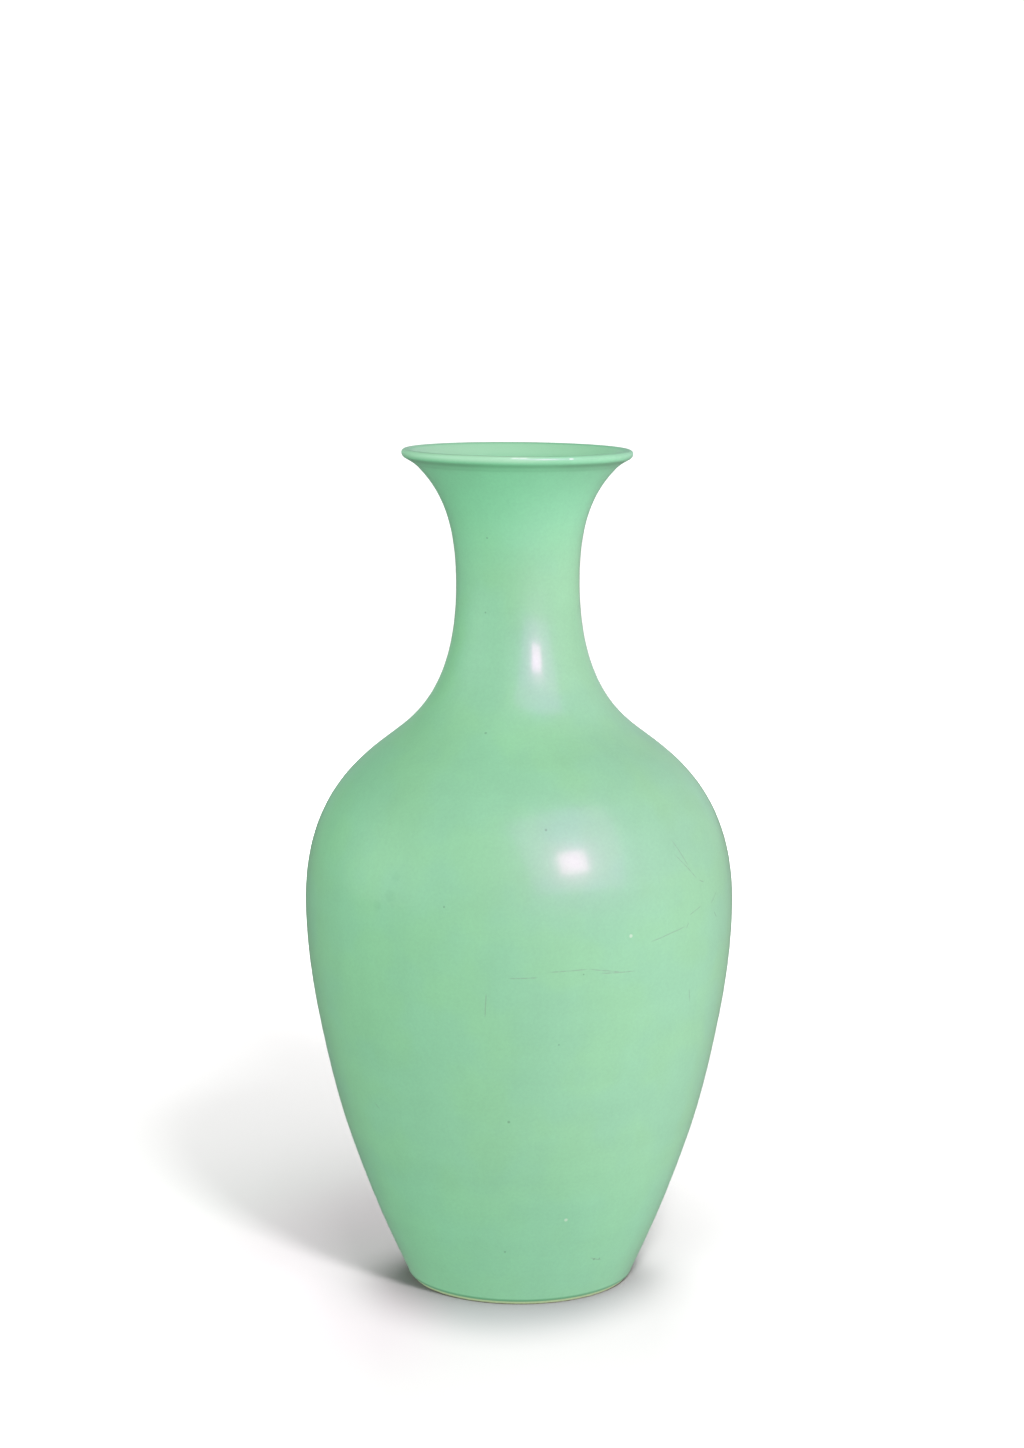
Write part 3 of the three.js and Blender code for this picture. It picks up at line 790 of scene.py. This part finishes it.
def bare_clay():
    """Unglazed porcelain: a warm white with fine grit, a pale band of thin glaze just under the
    enamel's edge, and a brown line where the foot was burnt in the kiln."""
    material, tree, shader, where, part = new_material("bare_clay")
    mottle = place_group(tree, MOTTLE, Place=where, **CLAY_MOTTLE).outputs[0]
    grain = noise(tree, where, 1500, 2.0, 0.7, 5.0)
    grit = product(tree, ramped(tree, grain, 0.62, 0.72), GRIT_SHARE)
    colour = blended(tree, grit, BODY_WHITE, FOOT_BROWN)
    outside_only = ramped(tree, radius_from(tree, part), FOOT_SIDE_FROM, FOOT_SIDE_FULL)
    wavy = sums(tree, "SUBTRACT", noise(tree, where, 240, 2.0), 0.5)
    wavy = product(tree, wavy, BROWN_WANDER)
    height = sums(tree, "ADD", part["Z"], wavy)
    colour = blended(tree, outside_only, colour, FOOT_PALE)
    brown = ramped(tree, height, BROWN_FULL, BROWN_END, 1.0, 0.0)
    brown = product(tree, brown, BROWN_SHARE)
    rim_edge = ramped(tree, radius_from(tree, part), RIM_EDGE_FROM, RIM_EDGE_FULL, RIM_BROWN_SHARE, 1.0)
    colour = blended(tree, product(tree, brown, rim_edge), colour, FOOT_BROWN)
    tree.links.new(mottled(tree, colour, mottle), shader.inputs["Base Color"])
    rough = ramped(tree, outside_only, 0.0, 1.0, CLAY_ROUGHNESS, FOOT_ROUGHNESS)
    tree.links.new(rough, shader.inputs["Roughness"])
    bumped(tree, shader, product(tree, grain, CLAY_GRAIN_DEPTH))
    return material


def luting_slip():
    """Fired slip, a little darker and coarser than the clay that it joins."""
    material, tree, shader, where = new_material("luting_slip")[:4]
    mottle = place_group(tree, MOTTLE, Place=where, **SLIP_MOTTLE).outputs[0]
    tree.links.new(mottled(tree, SLIP_WHITE, mottle), shader.inputs["Base Color"])
    rough = sums(tree, "ADD", product(tree, mottle, 0.5), SLIP_ROUGHNESS)
    tree.links.new(rough, shader.inputs["Roughness"])
    bumped(tree, shader, product(tree, noise(tree, where, 900, 3.0, 0.7), SLIP_GRAIN_DEPTH))
    return material


GLAZE_WHITE = (0.68, 0.74, 0.70, 1)
GLAZE_POOLED = (0.50, 0.62, 0.56, 1)
CRACKLE_GREY = (0.42, 0.44, 0.40, 1)
POOL_FROM, POOL_END, POOL_SHARE = 0.0184, 0.030, 0.6
CRACKLE_CELLS, CRACKLE_WIDTH, CRACKLE_DEPTH = 95.0, 0.018, 0.00001
CRACKLE_SHARE, PINHOLE_SHARE = 0.35, 0.5
GREEN_EDGE_FROM, GREEN_EDGE_FULL, GREEN_EDGE_WANDER = 0.350, 0.360, 0.02


def clear_glaze():
    """Clear glaze over the clay: a cool white, greener where it has pooled in corners, with sparse
    fine crackle and pinholes. Inside the neck its upper edge takes on the green of the enamel."""
    material, tree, shader, where, part = new_material("clear_glaze")
    mottle = place_group(tree, MOTTLE, Place=where, **GLAZE_MOTTLE).outputs[0]
    pool = ramped(tree, part["Z"], POOL_FROM, POOL_END, POOL_SHARE, 0.0)
    colour = blended(tree, pool, GLAZE_WHITE, GLAZE_POOLED)
    cells = put(tree, "ShaderNodeTexVoronoi", {"feature": "DISTANCE_TO_EDGE"}, Vector=where,
                Scale=CRACKLE_CELLS)
    crack = ramped(tree, cells.outputs["Distance"], 0.0, CRACKLE_WIDTH, 1.0, 0.0)
    part_cracked = ramped(tree, noise(tree, where, 30, 2.0, 0.5, 7.0), 0.48, 0.60)
    stained = product(tree, product(tree, crack, part_cracked), CRACKLE_SHARE)
    colour = blended(tree, stained, colour, CRACKLE_GREY)
    pinholes = ramped(tree, noise(tree, where, 800, 1.0, 0.5, 2.0), 0.76, 0.80)
    colour = blended(tree, product(tree, pinholes, PINHOLE_SHARE), colour, FOOT_BROWN)
    ragged = sums(tree, "SUBTRACT", noise(tree, where, 70, 3.0), 0.5)
    ragged = product(tree, ragged, GREEN_EDGE_WANDER)
    into_green = ramped(tree, sums(tree, "ADD", part["Z"], ragged), GREEN_EDGE_FROM, GREEN_EDGE_FULL)
    colour = blended(tree, into_green, colour, ENAMEL_GREEN)
    tree.links.new(mottled(tree, colour, mottle), shader.inputs["Base Color"])
    skin = place_group(tree, GLASSY_SKIN, Place=where, **GLAZE_SKIN)
    tree.links.new(skin.outputs["Roughness"], shader.inputs["Roughness"])
    dents = product(tree, sums(tree, "ADD", pinholes, crack), -CRACKLE_DEPTH)
    bumped(tree, shader, sums(tree, "ADD", skin.outputs["Height"], dents))
    shader.inputs["IOR"].default_value = GLASS_IOR
    return material


# The pieces

ENAMEL = green_enamel()
CLAY = bare_clay()
SLIP = luting_slip()
GLAZE = clear_glaze()


def coat(first, last, step):
    """A coat between two places of the finished path: its surface, then back along the clay, of
    which only every few places are kept."""
    under = clay[first: last + 1][::-1]
    kept = np.unique(np.concatenate([np.arange(0, len(under), step), [len(under) - 1]]))
    return np.concatenate([surface[first: last + 1], under[kept]])


half_slip = SLIP_THICKNESS / 2
body_seam = (BODY_SEAM_HEIGHT - half_slip, BODY_SEAM_HEIGHT + half_slip)
neck_seam = (NECK_SEAM_HEIGHT - half_slip, NECK_SEAM_HEIGHT + half_slip)
lower_wall = clay[: outside_number(body_seam[0]) + 1]
lower_inside = clay[inside_number(body_seam[0]):]
neck_outline = clay[outside_number(neck_seam[1]): inside_number(neck_seam[1]) + 1]
base_glaze = np.concatenate([inset(recess, np.full(len(recess), -GLAZE_THICKNESS)), recess[::-1]])

turned("enamel_coat", coat(0, enamel_last, 5), ENAMEL_TURNS, ENAMEL, "green_enamel")
turned("inside_glaze", coat(enamel_last, len(finished) - 1, 4), GLAZE_TURNS, GLAZE,
       "interior_glaze")
turned("base_glaze_coat", base_glaze, GLAZE_TURNS, GLAZE, "base_glaze")
turned("lower_section", np.concatenate([recess, rim, lower_wall, lower_inside]), ENAMEL_TURNS, CLAY,
       "lower_body")
turned("body_slip", section(*body_seam), CLAY_TURNS, SLIP, "body_luting")
turned("shoulder_section", section(body_seam[1], neck_seam[0]), CLAY_TURNS, CLAY,
       "upper_body")
turned("neck_slip", section(*neck_seam), CLAY_TURNS, SLIP, "neck_luting")
turned("neck_section", neck_outline, CLAY_TURNS, CLAY, "neck")


# Studio

# The lamp whose reflection shows on the shoulder and the neck, the wider and weaker glow round it,
# and the soft boxes that light only the floor, of which the first casts the shadow to the left.
KEY_PLACE, KEY_AIM = (0.587, -1.004, 0.758), (0.02, -0.08, 0.24)
KEY_SIZE, KEY_POWER = (0.335, 0.308), 5.4
KEY_COLOUR, GLOW_COLOUR = (1.0, 0.47, 0.72), (0.62, 0.08, 0.76)
GLOW_PLACE, GLOW_SIZE, GLOW_POWER = (0.640, -1.01, 1.03), (1.42, 1.42), 18.2
FLOOR_LAMPS = {
    "shadow_soft_box": ((0.2455, -0.7835, 0.9023), (0.14, 0.14), 20.5),
    "front_soft_box": ((0.083, -0.471, 1.316), (0.60, 0.60), 22.0),
    "behind_soft_box": ((0.0, 0.900, 1.072), (0.70, 0.70), 27.0),
}

# Soft light of the room: for each side the way it lies, in degrees to the right of the camera's
# side and above level, how tightly it is gathered, and its levels for matt and for shiny surfaces.
ROOM_LIGHTS = {
    "left_back": (-115, 40, 4, 0.44, 0.0),
    "left": (-88, 10, 7, 0.34, 0.70),
    "left_high": (-90, 55, 4, 0.52, 0.0),
    "left_panel": (-70, 5, 12, 0.48, 0.42),
    "left_front_high": (-60, 35, 4, 0.33, 0.0),
    "left_front": (-50, 15, 4, 0.48, 0.15),
    "left_front_panel": (-35, 5, 12, 0.20, 0.0),
    "front_left": (-20, 15, 4, 0.36, 0.0),
    "front_panel": (0, 5, 12, 0.65, 0.03),
    "front_right": (15, 15, 4, 0.82, 0.11),
    "front_right_high": (30, 45, 4, 0.0, 0.38),
    "right_front_panel": (35, 5, 12, 0.80, 0.06),
    "right_front": (50, 15, 4, 1.09, 0.0),
    "right_panel": (70, 5, 12, 0.93, 0.0),
    "right": (90, 10, 4, 1.66, 0.0),
    "right_back": (135, 10, 4, 0.90, 0.21),
    "back": (180, 0, 3, 0.30, 0.45),
}
ROOM_LEFT, ROOM_RIGHT = (0.93, 1.14, 0.99, 1), (1.08, 0.85, 0.99, 1)
ROOM_BEHIND, BEHIND_WAY = (0.70, 1.05, 0.90, 1), (0.1, 0.7)
BACKDROP_LEVEL = 1.2

# The floor as the camera sees it: its colours near the vase and far off, its colour in the cast
# shadow, and the shade close to the foot, greener in front and warmer in the shadow.
FLOOR_SIZE, FAR_START, FAR_END = 8.0, 0.40, 1.50
FLOOR_NEAR, FLOOR_FAR = (0.302, 0.302, 0.300, 1), (1.08, 1.05, 1.06, 1)
FLOOR_SHADED, SHADED_SIDE, SHADED_REACH = (0.310, 0.292, 0.302, 1), (-0.065, -0.020), (0.10, 0.20)
CONTACT_PLACE, CONTACT_STRETCH = (-0.006, -0.020, 0), (1.15, 0.90, 1)
CONTACT_START, CONTACT_END, CONTACT_AMOUNT = 0.040, 0.092, 0.32
CONTACT_GREEN, CONTACT_SHADED = (0, 0.028, 0.030, 1), (0.045, 0, 0.022, 1)

# The floor as the vase sees it: its level for matt surfaces, its level to the right and the share of
# that farther off, its level for shiny surfaces, its tint to the left, and where each change lies.
FLOOR_BOUNCE, FLOOR_RIGHT, FLOOR_FAR_SHARE, FLOOR_SHEEN = 0.69, 1.14, 0.82, 0.20
BOUNCE_LEFT, LEFT_SIDE = (0.88, 1.0, 0.94, 1), (-0.15, 0.0)
RIGHT_SIDE, RIGHT_FAR = (0.03, 0.15), (0.25, 0.70)


def soft_box(name, place, aim, size, power):
    """A rectangular area light at a place, turned towards another."""
    data = bpy.data.lights.new(name, "AREA")
    data.shape = "RECTANGLE"
    data.size, data.size_y = size
    data.energy = power
    lamp = bpy.data.objects.new(name, data)
    away = np.array(place) - np.array(aim)
    lamp.location = place
    lamp.rotation_euler = (np.arctan2(np.hypot(away[0], away[1]), away[2]), 0,
                           np.arctan2(away[1], away[0]) + np.pi / 2)
    bpy.context.scene.collection.objects.link(lamp)
    return lamp


def shown_apart(tree, shader, camera_shader, output):
    """Sends every ray to one shader, but the camera's to another."""
    rays = put(tree, "ShaderNodeLightPath").outputs
    shown = tree.nodes.new("ShaderNodeMixShader")
    for number, value in enumerate((rays["Is Camera Ray"], shader.outputs[0], camera_shader.outputs[0])):
        tree.links.new(value, shown.inputs[number])
    put(tree, output, Surface=shown.outputs[0])


def studio_room():
    """Soft light from each side of the room: each light falls off as a power of the cosine of the
    angle from its middle. Its colour goes from left to right, with one more tint on what shiny
    surfaces see behind. The backdrop is plain white, and only the camera sees it."""
    world = bpy.data.worlds.new("studio")
    bpy.context.scene.world = world
    world.use_nodes = True
    tree = world.node_tree
    tree.nodes.clear()
    towards = put(tree, "ShaderNodeTexCoord").outputs["Generated"]
    glossy = put(tree, "ShaderNodeLightPath").outputs["Is Glossy Ray"]
    matt, shiny = 0.0, 0.0
    for side, height, gather, matt_level, shiny_level in ROOM_LIGHTS.values():
        side, height = np.radians(side), np.radians(height)
        middle = (np.sin(side) * np.cos(height), -np.cos(side) * np.cos(height), np.sin(height))
        facing = sums(tree, "MAXIMUM", vector_sums(tree, "DOT_PRODUCT", towards, middle, 1), 0.0)
        share = sums(tree, "POWER", facing, gather)
        if matt_level:
            matt = sums(tree, "MULTIPLY_ADD", share, matt_level, matt)
        if shiny_level:
            shiny = sums(tree, "MULTIPLY_ADD", share, shiny_level, shiny)
    parts = put(tree, "ShaderNodeSeparateXYZ", Vector=towards).outputs
    tint = blended(tree, sums(tree, "MULTIPLY_ADD", parts["X"], 0.5, 0.5), ROOM_LEFT, ROOM_RIGHT)
    behind = product(tree, ramped(tree, parts["Y"], *BEHIND_WAY), glossy)
    tint = blended(tree, behind, tint, ROOM_BEHIND, "MULTIPLY")
    room = put(tree, "ShaderNodeMix", Factor=glossy)
    feed(tree, room.inputs[2], matt)
    feed(tree, room.inputs[3], shiny)
    light = put(tree, "ShaderNodeBackground", Color=tint, Strength=room.outputs[0])
    backdrop = put(tree, "ShaderNodeBackground", Color=(1, 1, 1, 1), Strength=BACKDROP_LEVEL)
    shown_apart(tree, light, backdrop, "ShaderNodeOutputWorld")


def studio_floor():
    """A white floor, shown a little over-exposed as the backdrop is, with a close soft shade round
    the foot. To the vase it is a level of light of its own, stronger on the right."""
    half = FLOOR_SIZE / 2
    mesh = bpy.data.meshes.new("studio_floor")
    mesh.from_pydata([(-half, -half, 0), (half, -half, 0), (half, half, 0), (-half, half, 0)], [],
                     [(0, 1, 2, 3)])
    material = bpy.data.materials.new("studio_white")
    material.use_nodes = True
    tree = material.node_tree
    tree.nodes.clear()
    glossy = put(tree, "ShaderNodeLightPath").outputs["Is Glossy Ray"]
    where = put(tree, "ShaderNodeTexCoord").outputs["Object"]
    reach = vector_sums(tree, "LENGTH", where, (0, 0, 0), 1)
    close = vector_sums(tree, "SUBTRACT", where, CONTACT_PLACE)
    close = vector_sums(tree, "MULTIPLY", close, CONTACT_STRETCH)
    close = vector_sums(tree, "LENGTH", close, (0, 0, 0), 1)
    contact = ramped(tree, close, CONTACT_START, CONTACT_END, CONTACT_AMOUNT, 0.0)
    side = put(tree, "ShaderNodeSeparateXYZ", Vector=where).outputs["X"]
    shaded = product(tree, ramped(tree, side, *SHADED_SIDE, 1.0, 0.0),
                     ramped(tree, reach, *SHADED_REACH, 1.0, 0.0))
    near = blended(tree, shaded, FLOOR_NEAR, FLOOR_SHADED)
    level = blended(tree, ramped(tree, reach, FAR_START, FAR_END), near, FLOOR_FAR)
    shade = blended(tree, contact, level, blended(tree, shaded, CONTACT_GREEN, CONTACT_SHADED))
    diffuse = put(tree, "ShaderNodeBsdfDiffuse", Color=shade)
    bounce = put(tree, "ShaderNodeMix", Factor=glossy)
    feed(tree, bounce.inputs[2],
         product(tree, ramped(tree, side, *RIGHT_SIDE, FLOOR_BOUNCE, FLOOR_RIGHT),
                 ramped(tree, side, *RIGHT_FAR, 1.0, FLOOR_FAR_SHARE)))
    feed(tree, bounce.inputs[3], FLOOR_SHEEN)
    tint = blended(tree, ramped(tree, side, *LEFT_SIDE), BOUNCE_LEFT, (1, 1, 1, 1))
    bounce = put(tree, "ShaderNodeEmission", Color=tint, Strength=bounce.outputs[0])
    shown_apart(tree, bounce, diffuse, "ShaderNodeOutputMaterial")
    mesh.materials.append(material)
    floor_object = bpy.data.objects.new("studio_floor", mesh)
    bpy.context.scene.collection.objects.link(floor_object)
    return floor_object


studio_room()
floor_object = studio_floor()
for lamp, colour in (
        (soft_box("key_soft_box", KEY_PLACE, KEY_AIM, KEY_SIZE, KEY_POWER), KEY_COLOUR),
        (soft_box("glow_soft_box", GLOW_PLACE, KEY_AIM, GLOW_SIZE, GLOW_POWER), GLOW_COLOUR)):
    lamp.data.color = colour
    lamp.visible_diffuse = False
only_floor = bpy.data.collections.new("only_floor")
only_floor.objects.link(floor_object)
for name, (place, size, power) in FLOOR_LAMPS.items():
    soft_box(name, place, (0, 0, 0.05), size, power).light_linking.receiver_collection = only_floor
bpy.context.scene.view_settings.view_transform = "Standard"
